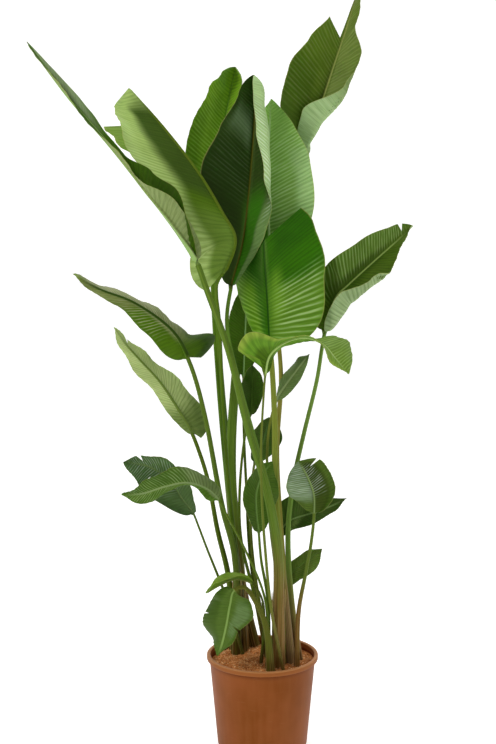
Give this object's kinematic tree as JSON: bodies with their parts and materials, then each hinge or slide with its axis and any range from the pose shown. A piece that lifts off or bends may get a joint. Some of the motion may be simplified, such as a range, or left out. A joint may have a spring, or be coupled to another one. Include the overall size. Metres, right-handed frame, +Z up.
{
  "type": "potted bird of paradise plant",
  "caption": "Tall potted bird of paradise: long-stalked, ribbed paddle leaves fanning up from coir in a round tapered plastic nursery pot.",
  "frame": {"origin": "middle of the pot's foot, on the surface it stands on", "axes": "+Z up, -Y the plant's front as pictured, +X its right"},
  "size_m": [0.8808, 0.3288, 1.8376],
  "materials": {
    "pot_plastic": "terracotta-brown moulded plastic, satin",
    "coir": "loose orange-brown coir chips and fibre, matt",
    "leaf_green": "fresh green leaf, waxy gloss above and matt below",
    "leaf_dark": "old dark green leaf, glossy above",
    "leaf_light": "matt grey-green underside of a leaf",
    "dry_sheath": "dry brown leaf sheath, fibrous and matt"
  },
  "bodies": {
    "root": {"pot": "pot_plastic", "soil": "coir", "leaf_far_left": "leaf_green", "leaf_left_folded": "leaf_light", "leaf_upright_left": "leaf_green", "leaf_centre_dark": "leaf_dark", "leaf_centre_back": "leaf_light", "leaf_top_right": "leaf_dark", "leaf_centre_front": "leaf_green", "leaf_right": "leaf_dark", "leaf_front_drooping": "leaf_light", "leaf_mid_left": "leaf_light", "leaf_lower_left": "leaf_light", "leaf_low_left_front": "leaf_green", "leaf_low_left_back": "leaf_green", "leaf_inner_back": "leaf_dark", "leaf_inner_dark": "leaf_dark", "leaf_inner_right": "leaf_light", "leaf_inner_low": "leaf_green", "leaf_inner_middle": "leaf_dark", "leaf_low_right_torn": "leaf_green", "leaf_low_right_back": "leaf_green", "leaf_small_right": "leaf_green", "leaf_base_curled": "leaf_light", "leaf_base_front": "leaf_green", "old_sheath_front": "dry_sheath", "old_sheath_back": "dry_sheath", "old_sheath_left": "dry_sheath"}
  },
  "joints": []
}
